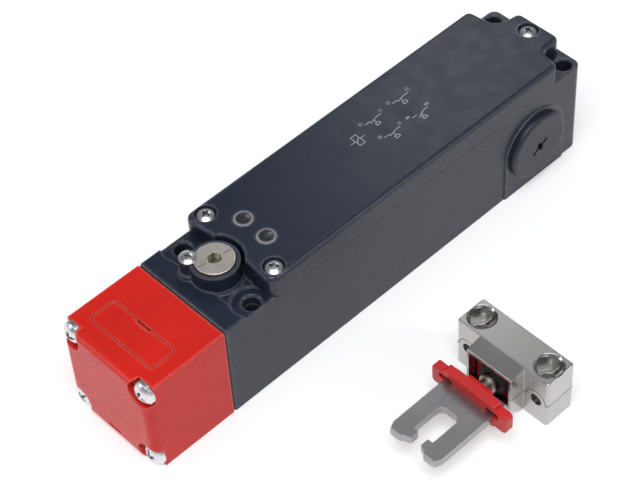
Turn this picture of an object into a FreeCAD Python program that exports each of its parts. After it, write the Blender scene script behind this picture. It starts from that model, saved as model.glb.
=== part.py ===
import FreeCAD, Part
import math
import os

# A tongue interlock switch with its separate jointed actuator.
# Millimetres. X runs along the switch, towards the cable end. Z is up, from the mounting face.
# The origin is the centre of the four fixing holes, on the mounting face.

Vector = FreeCAD.Vector
X_AXIS = Vector(1, 0, 0)
Y_AXIS = Vector(0, 1, 0)
Z_AXIS = Vector(0, 0, 1)

# ---- Driving dimensions of the switch ----
WIDTH = 40.0
HALF = WIDTH / 2
HOLE_PITCH_X = 143.0
HOLE_PITCH_Y = 31.7
HOLE_RADIUS = 2.75
NEAR_X = -HOLE_PITCH_X / 2
FAR_X = HOLE_PITCH_X / 2
HOLE_Y = HOLE_PITCH_Y / 2

BODY_FRONT = -85.75
BODY_END = 76.2
DECK_Z = 38.0
RIM_Z = 37.5
LIP_Z = 39.0
LIP_END = -77.3
WALL = 3.0
FLOOR = 3.0
BODY_CORNER = 3.0
BODY_EDGE = 0.6

COVER_BASE = 37.7
COVER_TOP = 46.0
COVER_NEAR = -66.9
COVER_NEAR_MIDDLE = -64.7
COVER_FAR = 74.3
COVER_EDGE = 1.7
ARC_EDGE = 0.8
COVER_WALL = 2.4
NOTCH_X = 64.4
TAB_LEFT = 7.4
TAB_RIGHT = -11.6
RELEASE_ARC = 9.3
SCREW_SEAT_Z = 44.1
SINK_RADIUS = 3.6
COVER_SCREWS = [(-61.2, 15.6), (-61.2, -15.6), (69.6, -1.5)]
LENS_X = -54.55
LENS_Y = 5.25
BOARD_TOP = 40.0
BOARD_PINS = (-49.0, -36.0)

HEAD_FRONT = -118.15
HEAD_REAR = -86.2
HEAD_Z = 39.0
HEAD_SEAT = -114.8
HEAD_SCREW_Y = 16.4
HEAD_SCREW_LOW = 4.3
HEAD_SCREW_HIGH = 34.9
HEAD_POCKET = 4.9
SLOT_HALF = 14.3
END_SLOT_Z = (3.4, 14.0)
TOP_SLOT_X = (-110.55, -100.65)
PLUG_GAP = 0.15

# ---- Driving dimensions of the mechanism ----
ROTOR_X = -95.65
ROTOR_Z = 19.5
ROTOR_RIM = 9.0
LOCK_RIM = 8.3
PEG_ANGLES = (145, 235)
CAM_HIGH = 8.6
CAM_LOW = 5.6
CAM_SWEEP = 50.0
AXLE_RADIUS = 2.0
ROD_Z = 10.5
ROD_RADIUS = 2.5
BOLT_Y = 7.2
CORE_Z = 26.5
RELEASE_CAM_LOW = 4.0
RELEASE_CAM_HIGH = 8.0
SOLENOID_X = (-52.65, -18.65)
BLOCK_X = (-6.0, 34.0)
ENTRY_X = 53.35
ENTRY_Z = 17.0
ENTRY_RADIUS = 9.3
PAD_RADIUS = 14.5
PAD_RISE = 0.5
RUNNING = 0.05
RELEASE_TOP = 45.6

# ---- Driving dimensions of the actuator ----
ACT_X = -22.7
ACT_Y = -75.05
BLOCK_DEPTH = 12.0
BLOCK_HALF = 19.0
BLOCK_Z = 20.3
SPLIT_Z = 9.3
PARTING = 0.08
SNOUT_HALF = 9.2
SNOUT_REACH = 6.1
CHIN_X = -1.2
CHIN_Z = 4.6
ACT_HOLE_Y = 14.0
ACT_HOLE_RADIUS = 2.65
FRONT_HOLE_RADIUS = 2.2
TONGUE_HALF = 10.2
TONGUE_Z = (8.8, 11.8)
TONGUE_TIP = -40.6
TONGUE_ROOT = -9.2
FLANGE_X = -15.2
JOINT_X = 2.5
JOINT_Z = 10.3
CARRIER_FRONT = -2.6


# ---- Shape helpers ----
def box(x0, x1, y0, y1, z0, z1):
    return Part.makeBox(x1 - x0, y1 - y0, z1 - z0, Vector(x0, y0, z0))


def rod(x, y, z, radius, length, axis=Z_AXIS):
    return Part.makeCylinder(radius, length, Vector(x, y, z), axis)


def tube(x, y, z, outer, inner, length, axis=Z_AXIS):
    return rod(x, y, z, outer, length, axis).cut(rod(x, y, z, inner, length, axis))


def lift(u, v, plane, offset):
    """A point of a flat outline, placed in the XY, XZ or YZ plane."""
    if plane == "XY":
        return Vector(u, v, offset)
    if plane == "XZ":
        return Vector(u, offset, v)
    return Vector(offset, u, v)


def outline(corners, plane, offset):
    """A closed wire through (u, v, radius) corners, each rounded by a tangent arc."""
    edges = []
    last = None
    first = None
    count = len(corners)
    for i in range(count):
        before = Vector(corners[i - 1][0], corners[i - 1][1], 0)
        here = Vector(corners[i][0], corners[i][1], 0)
        after = Vector(corners[(i + 1) % count][0], corners[(i + 1) % count][1], 0)
        radius = corners[i][2]
        if radius > 0:
            to_before = (before - here).normalize()
            to_after = (after - here).normalize()
            half = to_before.getAngle(to_after) / 2
            reach = radius / math.tan(half)
            middle_way = (to_before + to_after).normalize()
            start = here + to_before * reach
            end = here + to_after * reach
            middle = here + middle_way * (radius / math.sin(half) - radius)
        else:
            start = here
            end = here
            middle = None
        if last is not None and (start - last).Length > 1e-6:
            edges.append(straight(last, start, plane, offset))
        if middle is not None:
            points = [lift(p.x, p.y, plane, offset) for p in (start, middle, end)]
            edges.append(Part.Arc(*points).toShape())
        if first is None:
            first = start
        last = end
    if (first - last).Length > 1e-6:
        edges.append(straight(last, first, plane, offset))
    return Part.Wire(edges)


def straight(a, b, plane, offset):
    return Part.LineSegment(lift(a.x, a.y, plane, offset), lift(b.x, b.y, plane, offset)).toShape()


def prism(corners, plane, start, end):
    """The outline's solid, from start to end along the axis across its plane."""
    ways = {"XY": Z_AXIS, "XZ": Y_AXIS, "YZ": X_AXIS}
    return Part.Face(outline(corners, plane, start)).extrude(ways[plane] * (end - start))


def plate(x0, x1, y0, y1, z0, z1, radius):
    corners = [(x0, y0, radius), (x1, y0, radius), (x1, y1, radius), (x0, y1, radius)]
    return prism(corners, "XY", z0, z1)


def end_plate(x0, x1, y0, y1, z0, z1, radius):
    corners = [(y0, z0, radius), (y1, z0, radius), (y1, z1, radius), (y0, z1, radius)]
    return prism(corners, "YZ", x0, x1)


def soften(shape, radius, wanted):
    """Rounds the edges for which wanted(edge) is true."""
    return shape.makeFillet(radius, [edge for edge in shape.Edges if wanted(edge)])


def lies_at(edge, axis, value):
    low = getattr(edge.BoundBox, axis + "Min")
    high = getattr(edge.BoundBox, axis + "Max")
    return abs(low - value) < 1e-3 and abs(high - value) < 1e-3


def fuse(*shapes):
    joined = shapes[0]
    for shape in shapes[1:]:
        joined = joined.fuse(shape)
    return joined.removeSplitter()


def cut(shape, *tools):
    for tool in tools:
        shape = shape.cut(tool)
    return shape


def mirror_y(shape, y=0.0):
    return shape.mirror(Vector(0, y, 0), Y_AXIS)


def hexagon(across_flats, x, y, z0, z1, start=0):
    """A hexagonal prism, its first corner at the angle start from X."""
    reach = across_flats / math.sqrt(3)
    corners = []
    for i in range(6):
        turn = math.radians(start + 60 * i)
        corners.append((x + reach * math.cos(turn), y + reach * math.sin(turn), 0))
    return prism(corners, "XY", z0, z1)


def spiral_cam(x, z, start_angle, sweep, r_start, r_end, steps=12):
    """An edge whose radius grows evenly with its angle, in the plane of u = x and v = z."""
    points = []
    for i in range(steps + 1):
        share = i / steps
        angle = math.radians(start_angle + sweep * share)
        radius = r_start + (r_end - r_start) * share
        points.append((x + radius * math.cos(angle), z + radius * math.sin(angle)))
    return points


def curve_through(points, plane, offset):
    spline = Part.BSplineCurve()
    spline.interpolate([lift(u, v, plane, offset) for u, v in points])
    return spline.toShape()


def arc_through(x, z, radius, angles, plane, offset):
    points = []
    for angle in angles:
        turn = math.radians(angle)
        points.append(lift(x + radius * math.cos(turn), z + radius * math.sin(turn), plane, offset))
    return Part.Arc(*points).toShape()


def coil_spring(x0, x1, y, z, radius, wire_radius, turns):
    """A thin wire wound along X, lofted through eight-sided sections, sixteen to a turn."""
    length = x1 - x0 - 2 * wire_radius
    steps = 16 * turns
    sections = []
    for i in range(steps + 1):
        turn = 2 * math.pi * turns * i / steps
        outwards = Vector(0, math.cos(turn), math.sin(turn))
        centre = Vector(x0 + wire_radius + length * i / steps, y, z) + outwards * radius
        corners = []
        for k in range(8):
            angle = math.radians(45 * k)
            corners.append(centre + (outwards * math.cos(angle) + X_AXIS * math.sin(angle)) * wire_radius)
        sections.append(Part.makePolygon(corners + corners[:1]))
    return Part.makeLoft(sections, True, True)


def pan_screw(x, y, z, head_radius, head_height, shank_radius, shank_length, axis, flat_turn=0.0):
    """A domed screw seated at (x, y, z), its head along axis and its shank the other way."""
    dome = (head_radius ** 2 + head_height ** 2) / (2 * head_height)
    ball = Part.makeSphere(dome, Vector(0, 0, head_height - dome))
    head = ball.common(rod(0, 0, 0, head_radius, head_height + 1))
    shank = rod(0, 0, -shank_length, shank_radius, shank_length)
    screw = fuse(head, shank)
    screw.rotate(Vector(0, 0, 0), Z_AXIS, flat_turn)
    screw.Placement = FreeCAD.Placement(Vector(x, y, z), FreeCAD.Rotation(Z_AXIS, axis)) * screw.Placement
    return screw


def cross_recess(radius, depth, top):
    """The star-shaped driver recess of a screw whose crown is at top."""
    width = radius * 0.32
    wings = []
    for turn in (0, 90):
        wing = box(-radius, radius, -width / 2, width / 2, top - depth, top + 1)
        wing.rotate(Vector(0, 0, 0), Z_AXIS, turn)
        wings.append(wing)
    centre = Part.makeCone(radius * 0.22, radius * 0.5, depth + 1, Vector(0, 0, top - depth))
    return fuse(wings[0], wings[1], centre)


def cross_screw(x, y, z, head_radius, head_height, shank_radius, shank_length, turn):
    screw = pan_screw(0, 0, 0, head_radius, head_height, shank_radius, shank_length, Z_AXIS)
    recess = cross_recess(head_radius * 0.55, head_height * 0.62, head_height)
    recess.rotate(Vector(0, 0, 0), Z_AXIS, turn)
    screw = screw.cut(recess)
    screw.translate(Vector(x, y, z))
    return screw


# ---- The switch's casing ----
def cover_plan(grow, z0, z1, corner=3.0, small=2.4):
    """The cover's plan: its near end clears the release, its far end narrows to a tab."""
    near = COVER_NEAR - grow
    middle = COVER_NEAR_MIDDLE - grow
    far = COVER_FAR + grow
    side = HALF + min(grow, 0)
    notch = NOTCH_X + grow
    corners = [(near, -side, corner), (notch - 0.6, -side, small), (notch + 1.0, TAB_RIGHT - grow, 3.0),
               (far, TAB_RIGHT - grow, small), (far - 0.2, TAB_LEFT - 0.6 + grow, small),
               (notch, TAB_LEFT + 0.8 + grow, 5.5), (notch - 1.2, side, small), (near, side, corner),
               (middle, 0, 0)]
    return prism(corners, "XY", z0, z1)


def release_clearance(grow, z0, z1):
    return rod(NEAR_X, 0, z0, RELEASE_ARC - grow, z1 - z0)


def near_holes(z0, z1, radius):
    return [rod(x, y, z0, radius, z1 - z0) for x in (NEAR_X, FAR_X) for y in (-HOLE_Y, HOLE_Y)]


def body_block():
    front = [(BODY_FRONT, -HALF, 0.8), (LIP_END, -HALF, 0), (LIP_END, HALF, 0), (BODY_FRONT, HALF, 0.8)]
    front_block = prism(front, "XY", 0, LIP_Z)
    front_block = soften(front_block, 0.7, lambda e: lies_at(e, "Z", LIP_Z) and e.BoundBox.XMax > LIP_END - 1)
    rear = [(LIP_END, -HALF, 0), (BODY_END, -HALF, BODY_CORNER), (BODY_END, HALF, BODY_CORNER),
            (LIP_END, HALF, 0)]
    rear_block = prism(rear, "XY", 0, DECK_Z)
    rear_block = soften(rear_block, BODY_EDGE,
                        lambda e: lies_at(e, "Z", DECK_Z) and not lies_at(e, "X", LIP_END))
    seat = cover_plan(0.35, RIM_Z, DECK_Z + 1).cut(release_clearance(0.35, RIM_Z - 1, DECK_Z + 2))
    return fuse(front_block, rear_block.cut(seat))


def entry_pad():
    """The raised flat with an arched top, round a conduit entry on the -Y side."""
    arch = rod(ENTRY_X, -HALF - PAD_RISE, ENTRY_Z, PAD_RADIUS, PAD_RISE + 1, Y_AXIS)
    foot = box(ENTRY_X - PAD_RADIUS, ENTRY_X + PAD_RADIUS, -HALF - PAD_RISE, 1 - HALF, 0, ENTRY_Z)
    return fuse(arch, foot)


def end_pad():
    arch = rod(BODY_END - 1, 0, ENTRY_Z, PAD_RADIUS, 1 + PAD_RISE, X_AXIS)
    foot = box(BODY_END - 1, BODY_END + PAD_RISE, -PAD_RADIUS, PAD_RADIUS, 0, ENTRY_Z)
    return fuse(arch, foot)


def release_boss():
    """The tower round the release, flared at the deck, with a stepped post for its retaining screw."""
    tower = Part.makeCone(8.3, 8.05, 44.7 - DECK_Z, Vector(NEAR_X, 0, DECK_Z))
    flare = Part.makeCone(9.2, 8.2, 1.0, Vector(NEAR_X, 0, DECK_Z - 0.1))
    foot = rod(NEAR_X - 5.8, 5.8, DECK_Z - 0.5, 3.5, 3.0)
    post = rod(NEAR_X - 5.8, 5.8, DECK_Z, 2.7, RELEASE_TOP + 0.04 - DECK_Z)
    return fuse(tower, flare, foot, post)


def columns():
    """The pillars round the four fixing holes, and the bosses for the cover's screws."""
    posts = [rod(x, y, FLOOR - 1, 5.4, RIM_Z - 3 - FLOOR) for x in (NEAR_X,) for y in (-HOLE_Y, HOLE_Y)]
    posts += [rod(x, y, FLOOR - 1, 5.0, RIM_Z - FLOOR + 1) for x in (FAR_X,) for y in (-HOLE_Y, HOLE_Y)]
    for x, y in COVER_SCREWS:
        posts.append(rod(x, y, RIM_Z - 12, 4.4, 12))
    return posts


def make_housing():
    body = fuse(body_block(), entry_pad(), mirror_y(entry_pad()), end_pad())
    roof_z = DECK_Z - 3.5
    inner_end = COVER_NEAR + 3.0
    chamber = plate(BODY_FRONT + WALL, BODY_END - WALL, WALL - HALF, HALF - WALL, FLOOR, roof_z, 2.5)
    opening = plate(inner_end, BODY_END - WALL, WALL - HALF, HALF - WALL, roof_z - 1, DECK_Z + 1, 2.5)
    opening = opening.common(cover_plan(-WALL, roof_z - 1, DECK_Z + 1))
    opening = opening.cut(release_clearance(-WALL, roof_z - 1, DECK_Z + 2))
    room = fuse(chamber, opening)
    for post in columns():
        room = room.cut(post)
    body = body.cut(room)
    boss = rod(ENTRY_X, HALF - 7, ENTRY_Z, 12.0, 5, Y_AXIS)
    body = fuse(body, boss, mirror_y(boss), rod(BODY_END - 7, 0, ENTRY_Z, 12.0, 5, X_AXIS))
    body = body.fuse(release_boss())
    tools = near_holes(-1, DECK_Z + 1, HOLE_RADIUS)
    for x, top in ((NEAR_X, DECK_Z - 0.6), (FAR_X, DECK_Z)):
        for y in (-HOLE_Y, HOLE_Y):
            tools.append(Part.makeCone(HOLE_RADIUS, HOLE_RADIUS + 0.6, 0.6, Vector(x, y, top - 0.6)))
            tools.append(rod(x, y, top - 0.01, HOLE_RADIUS + 0.6, 2))
    spots = box(-90, COVER_NEAR + 5, -HALF + 0.7, HALF - 0.7, DECK_Z - 2, DECK_Z + 2)
    spots = spots.cut(rod(NEAR_X, 0, DECK_Z - 3, 9.2, 6))
    tools += [rod(NEAR_X - 0.4, y, DECK_Z - 0.6, 6.4, 3).common(spots) for y in (-HOLE_Y, HOLE_Y)]
    tools.append(rod(ENTRY_X, -HALF - 5, ENTRY_Z, ENTRY_RADIUS, 2 * HALF + 10, Y_AXIS))
    tools.append(rod(BODY_END - 10, 0, ENTRY_Z, ENTRY_RADIUS, 15, X_AXIS))
    tools.append(rod(NEAR_X, 0, 43.1, 6.85, 5))
    tools.append(rod(NEAR_X, 0, roof_z - 1, 3.5 + RUNNING, 15))
    tools.append(rod(NEAR_X - 5.8, 5.8, 36.0, 1.25, 12))
    tools.append(rod(BODY_FRONT - 1, 0, ROTOR_Z, 3.1, WALL + 2, X_AXIS))
    tools.append(rod(BODY_FRONT - 1, BOLT_Y, ROTOR_Z, 2.0 + RUNNING, WALL + 2, X_AXIS))
    for x, y in COVER_SCREWS:
        tools.append(rod(x, y, RIM_Z - 9, 1.6, 12))
    for y in (-HEAD_SCREW_Y, HEAD_SCREW_Y):
        for z in (HEAD_SCREW_LOW, HEAD_SCREW_HIGH):
            tools.append(rod(BODY_FRONT - 1, y, z, 1.9, 7, X_AXIS))
    return cut(body, *tools)


def make_cover():
    shell = cover_plan(0, COVER_BASE, COVER_TOP)
    shell = soften(shell, COVER_EDGE, lambda e: lies_at(e, "Z", COVER_TOP))
    shell = shell.cut(release_clearance(0, COVER_BASE - 1, COVER_TOP + 1))
    shell = soften(shell, ARC_EDGE, lambda e: lies_at(e, "Z", COVER_TOP) and e.BoundBox.XMax < NEAR_X + 10)
    hollow = cover_plan(-COVER_WALL, COVER_BASE - 1, COVER_TOP - 2.7, 1.5, 1.0)
    hollow = hollow.cut(release_clearance(-COVER_WALL, COVER_BASE - 2, COVER_TOP))
    tools = []
    for x, y in COVER_SCREWS:
        hollow = hollow.cut(rod(x, y, COVER_BASE - 2, 4.2, 12))
        tools.append(rod(x, y, COVER_BASE - 1, 1.75, 12))
        tools.append(rod(x, y, SCREW_SEAT_Z, SINK_RADIUS, 5))
    for x in BOARD_PINS:
        hollow = hollow.cut(rod(x, 0, BOARD_TOP, 2.2, 8))
        hollow = hollow.cut(rod(x, 0, BOARD_TOP - 1.4, 1.15, 8))
    for side in (-1, 1):
        hollow = hollow.cut(rod(LENS_X, side * LENS_Y, COVER_TOP - 4.2, 3.6, 4))
        tools.append(rod(LENS_X, side * LENS_Y, COVER_BASE - 1, 2.5, 12))
        tools.append(rod(LENS_X, side * LENS_Y, COVER_TOP - 1.4, 3.25, 3))
    return cut(shell.cut(hollow), *tools)


def make_cover_gasket():
    outer = cover_plan(-0.3, RIM_Z, COVER_BASE)
    outer = outer.cut(release_clearance(-0.3, RIM_Z - 1, COVER_BASE + 1))
    inner = cover_plan(-2.3, RIM_Z - 1, COVER_BASE + 1)
    inner = inner.cut(release_clearance(-2.3, RIM_Z - 2, COVER_BASE + 2))
    band = outer.cut(inner)
    for x, y in COVER_SCREWS:
        band = band.cut(rod(x, y, RIM_Z - 1, 1.75, 3))
    return biggest(band)


def biggest(shape):
    return max(shape.Solids, key=lambda solid: solid.Volume)


def make_cover_screws():
    turns = (12, 40, 5)
    screws = []
    for (x, y), turn in zip(COVER_SCREWS, turns):
        screws.append(cross_screw(x, y, SCREW_SEAT_Z, 3.15, 1.9, 1.5, 13.5, turn))
    return Part.makeCompound(screws)


def make_led_lenses():
    lenses = []
    for side in (-1, 1):
        crown = COVER_TOP + 0.55
        cap = fuse(rod(LENS_X, side * LENS_Y, COVER_TOP - 1.4, 3.2, 1.4),
                   rod(LENS_X, side * LENS_Y, COVER_TOP - 4.2, 2.5, 3.0))
        radius = 9.2
        dome = Part.makeSphere(radius, Vector(LENS_X, side * LENS_Y, crown - radius))
        top = dome.common(rod(LENS_X, side * LENS_Y, COVER_TOP - 0.01, 3.2, 1.0))
        lenses.append(fuse(cap, top))
    return Part.makeCompound(lenses)


def make_led_board():
    board = plate(-58.0, -33.0, -10.0, 10.0, BOARD_TOP - 1.6, BOARD_TOP, 0.8)
    return cut(board, *[rod(x, 0, BOARD_TOP - 2, 1.15, 3) for x in BOARD_PINS])


def make_leds():
    leds = []
    for side in (-1, 1):
        foot = rod(LENS_X, side * LENS_Y, 40.0, 1.7, 0.5)
        bulb = fuse(foot, rod(LENS_X, side * LENS_Y, 40.5, 1.2, 0.5))
        leds.append(bulb)
    return Part.makeCompound(leds)


# ---- The head ----
def head_block():
    corners = [(HEAD_FRONT, -HALF, 3.2), (HEAD_REAR, -HALF, 0.4), (HEAD_REAR, HALF, 0.4),
               (HEAD_FRONT, HALF, 3.2)]
    block = prism(corners, "XY", 0, HEAD_Z)
    nose = [(HEAD_FRONT, 0, 3.0), (HEAD_REAR, 0, 0), (HEAD_REAR, HEAD_Z, 0), (HEAD_FRONT, HEAD_Z, 2.3)]
    block = block.common(prism(nose, "XZ", -HALF - 1, HALF + 1))
    return soften(block, 0.6, lambda e: lies_at(e, "Z", HEAD_Z) and e.Length > 20 and e.BoundBox.YLength < 1)


def head_screw_spots():
    return [(y, z) for y in (-HEAD_SCREW_Y, HEAD_SCREW_Y) for z in (HEAD_SCREW_LOW, HEAD_SCREW_HIGH)]


def head_pockets():
    """The round seats of the head's screws, each open to its corner of the head."""
    pockets = []
    for y, z in head_screw_spots():
        y0, y1 = sorted((y, math.copysign(HALF + 5, y)))
        z0, z1 = (-5, z) if z < HEAD_Z / 2 else (z, HEAD_Z + 5)
        corner = box(HEAD_SEAT - 6, HEAD_SEAT, y0, y1, z0, z1)
        pockets.append(rod(HEAD_SEAT - 6, y, z, HEAD_POCKET, 6, X_AXIS).fuse(corner))
    return pockets


def end_slot(gap, x0, x1):
    """The slot for a tongue that comes in along the switch, shrunk all round by gap."""
    low, high = END_SLOT_Z
    corner = max(1.5 - gap, 0)
    return end_plate(x0, x1, gap - SLOT_HALF, SLOT_HALF - gap, low + gap, high - gap, corner)


def top_slot(gap, z0, z1):
    """The slot for a tongue that comes in from above, shrunk all round by gap."""
    near, far = TOP_SLOT_X
    corner = max(1.5 - gap, 0)
    return plate(near + gap, far - gap, gap - SLOT_HALF, SLOT_HALF - gap, z0, z1, corner)


def make_head_housing():
    head = head_block()
    middle = end_plate(HEAD_FRONT + WALL, HEAD_REAR + 1, -11.4, 11.4, WALL, HEAD_Z - WALL, 1.5)
    wide = end_plate(HEAD_FRONT + WALL, HEAD_REAR + 1, WALL - HALF, HALF - WALL, 8.6, 30.2, 1.5)
    low = end_plate(HEAD_FRONT + WALL, HEAD_REAR + 1, -13.4, 13.4, 6.2, 32.6, 0.5)
    tools = [fuse(middle, wide, low)]
    tools += head_pockets()
    tools += [rod(HEAD_FRONT, y, z, 2.1, 40, X_AXIS) for y, z in head_screw_spots()]
    tools.append(end_slot(0, HEAD_FRONT - 1, HEAD_FRONT + WALL + 1))
    tools.append(top_slot(0, HEAD_Z - WALL - 1, HEAD_Z + 1))
    tools.append(top_slot(0.85, HEAD_Z - 5, HEAD_Z - 1))
    for side in (-1, 1):
        tools.append(rod(ROTOR_X, side * (HALF - WALL) - 1.5, ROTOR_Z, AXLE_RADIUS, 3, Y_AXIS))
    return cut(head, *tools)


def make_end_slot_plug():
    face = end_slot(PLUG_GAP, HEAD_FRONT, HEAD_FRONT + 2.4)
    skirt = end_slot(PLUG_GAP + 1.0, HEAD_FRONT + 2.0, HEAD_FRONT + 4.6)
    skirt = skirt.cut(end_slot(PLUG_GAP + 2.0, HEAD_FRONT + 2.5, HEAD_FRONT + 6))
    plug = fuse(face, skirt).common(head_block())
    grip = box(HEAD_FRONT - 1, HEAD_FRONT + 0.7, -3.0, 3.0, END_SLOT_Z[0] - 1, END_SLOT_Z[0] + 1.1)
    clear = [rod(HEAD_SEAT - 6, y, HEAD_SCREW_LOW, HEAD_POCKET + PLUG_GAP, 12, X_AXIS)
             for y in (-HEAD_SCREW_Y, HEAD_SCREW_Y)]
    return cut(plug, grip, *clear)


def make_top_slot_plug():
    face = top_slot(PLUG_GAP, HEAD_Z - 2.4, HEAD_Z)
    skirt = top_slot(PLUG_GAP + 1.0, HEAD_Z - 4.6, HEAD_Z - 2.0)
    skirt = skirt.cut(top_slot(PLUG_GAP + 2.0, HEAD_Z - 6, HEAD_Z - 2.5))
    grip = box(TOP_SLOT_X[1] - 1.1, TOP_SLOT_X[1] + 1, -3.0, 3.0, HEAD_Z - 0.7, HEAD_Z + 1)
    return cut(fuse(face, skirt), grip)


def make_head_gasket():
    sheet = end_plate(HEAD_REAR, BODY_FRONT, 0.3 - HALF, HALF - 0.3, 0.3, HEAD_Z - 0.3, 0.8)
    tools = [end_plate(HEAD_REAR - 1, BODY_FRONT + 1, -11.0, 11.0, 4.0, 34.0, 1.5)]
    tools += [rod(HEAD_REAR - 1, y, z, 2.1, 3, X_AXIS) for y, z in head_screw_spots()]
    return cut(sheet, *tools)


def one_way_screw(y, z, turn):
    """A domed screw whose slot has one steep wall and one ramp on each side of the middle."""
    radius = 4.15
    height = 2.5
    screw = pan_screw(0, 0, 0, radius, height, 1.9, 33.5, Z_AXIS)
    slot = box(-radius - 1, radius + 1, -0.45, 0.45, height - 1.3, height + 1)
    screw = screw.cut(slot)
    for half_turn in (0, 180):
        wedge = Part.makeWedge(0, 0, 0, 0, 0, 1.2, 0.1, 2.2, 1.0, 1.2)
        wedge.rotate(Vector(0, 0, 0), X_AXIS, 90)
        wedge.translate(Vector(0.3, 2.4, height - 1.1))
        wedge.rotate(Vector(0, 0, 0), Z_AXIS, half_turn)
        screw = screw.cut(wedge)
    screw.rotate(Vector(0, 0, 0), Z_AXIS, turn)
    screw.rotate(Vector(0, 0, 0), Y_AXIS, -90)
    screw.translate(Vector(HEAD_SEAT, y, z))
    return screw


def make_head_screws():
    turns = (30, 118, 75, 10)
    return Part.makeCompound([one_way_screw(y, z, turn) for (y, z), turn in zip(head_screw_spots(), turns)])


# ---- The mechanism ----
def make_rotor_axle():
    return rod(ROTOR_X, -HALF + WALL - 1.5, ROTOR_Z, AXLE_RADIUS, 2 * (HALF - WALL) + 3, Y_AXIS)


def cam_plate():
    """The rotor's middle disc: a spiral behind, and a round rim that carries the two pegs."""
    x = ROTOR_X
    z = ROTOR_Z
    half = 1.6
    low_start = -CAM_SWEEP - 28
    edges = [
        curve_through(spiral_cam(x, z, -CAM_SWEEP, CAM_SWEEP, CAM_LOW, CAM_HIGH), "XZ", -half),
        arc_through(x, z, CAM_HIGH, (0, 20, 40), "XZ", -half),
        arc_through(x, z, CAM_LOW, (low_start, low_start + 14, -CAM_SWEEP), "XZ", -half),
        arc_through(x, z, ROTOR_RIM, (40, 160, 360 + low_start), "XZ", -half),
    ]
    for angle, inner, outer in ((40, CAM_HIGH, ROTOR_RIM), (low_start, CAM_LOW, ROTOR_RIM)):
        turn = math.radians(angle)
        ends = [Vector(x + r * math.cos(turn), -half, z + r * math.sin(turn)) for r in (inner, outer)]
        edges.append(Part.LineSegment(*ends).toShape())
    wire = Part.Wire(Part.__sortEdges__(edges))
    return Part.Face(wire).extrude(Y_AXIS * (2 * half))


def lock_disc():
    """The disc beside the cam, with the notch that takes the lock bolt when a tongue is in."""
    disc = rod(ROTOR_X, BOLT_Y - 1.8, ROTOR_Z, LOCK_RIM, 3.6, Y_AXIS)
    notch = box(ROTOR_X + 4.6, ROTOR_X + LOCK_RIM + 1, BOLT_Y - 3, BOLT_Y + 3, ROTOR_Z - 2.2, ROTOR_Z + 2.2)
    notch.rotate(Vector(ROTOR_X, 0, ROTOR_Z), Y_AXIS, CAM_SWEEP)
    return disc.cut(notch)


def make_tongue_rotor():
    rotor = fuse(rod(ROTOR_X, -13.0, ROTOR_Z, 4.6, 26.0, Y_AXIS), cam_plate(), lock_disc())
    for angle in PEG_ANGLES:
        turn = math.radians(angle)
        peg_x = ROTOR_X + ROTOR_RIM * math.cos(turn)
        peg_z = ROTOR_Z + ROTOR_RIM * math.sin(turn)
        rotor = fuse(rotor, rod(peg_x, -3.7, peg_z, 1.9, 7.4, Y_AXIS))
    return rotor.cut(rod(ROTOR_X, -14, ROTOR_Z, AXLE_RADIUS + RUNNING, 28, Y_AXIS))


def make_push_rod():
    tip = ROTOR_X + CAM_HIGH + 0.4
    shank_start = tip + 2.2
    link_x = -77.5
    nose = Part.makeCone(0.5, 3.0, 2.2, Vector(tip, 0, ROTOR_Z), X_AXIS)
    shank = rod(shank_start, 0, ROTOR_Z, 3.0, link_x - shank_start, X_AXIS)
    link = end_plate(link_x, link_x + 3, -3.4, 3.4, ROD_Z - 3.4, ROTOR_Z + 3.2, 1.5)
    long_rod = rod(link_x + 3, 0, ROD_Z, ROD_RADIUS, BLOCK_X[0] + 12.5 - link_x - 3, X_AXIS)
    return fuse(nose, shank, link, long_rod)


def make_rod_guide():
    """The bracket on the housing floor that carries the long rod and backs its spring."""
    foot = plate(-62.0, -53.2, -7.0, 7.0, FLOOR, FLOOR + 2.0, 1.0)
    upright = end_plate(-58.65, -55.65, -6.0, 6.0, FLOOR + 1, ROD_Z + 5.0, 2.0)
    return fuse(foot, upright).cut(rod(-63, 0, ROD_Z, ROD_RADIUS + RUNNING, 14, X_AXIS))


def make_rod_spring():
    return coil_spring(-74.4, -58.75, 0, ROD_Z, 3.5, 0.4, 6)


def make_release_spindle():
    disc = rod(NEAR_X, 0, 43.2, 6.6, RELEASE_TOP - 43.2)
    disc = soften(disc, 0.25, lambda e: lies_at(e, "Z", RELEASE_TOP))
    shaft = rod(NEAR_X, 0, 30.0, 3.5, 13.6)
    tail = rod(NEAR_X, 0, 23.2, 2.5, 7.0)
    flat = box(NEAR_X + 1.8, NEAR_X + 4, -4, 4, 22, 30.0)
    spindle = fuse(disc, shaft, tail).cut(flat)
    groove = tube(NEAR_X, 0, 35.8, 5.0, 2.7, 1.6)
    clip_groove = tube(NEAR_X, 0, 24.0, 4.0, 2.1, 0.8)
    socket = hexagon(4.2, NEAR_X, 0, 42.0, 47)
    marks = []
    for turn in (0, 180):
        mark = box(NEAR_X + 3.2, NEAR_X + 6.0, -0.15, 0.15, RELEASE_TOP - 0.25, 47)
        mark.rotate(Vector(NEAR_X, 0, 0), Z_AXIS, turn - 8)
        marks.append(mark)
    return cut(spindle, groove, clip_groove, socket, *marks)


def make_release_o_ring():
    return tube(NEAR_X, 0, 35.9, 3.5, 2.75, 1.4)


def make_release_clip():
    clip = tube(NEAR_X, 0, 24.05, 4.2, 2.15, 0.7)
    return clip.cut(box(NEAR_X - 5, NEAR_X, -1.2, 1.2, 23, 26))


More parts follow.
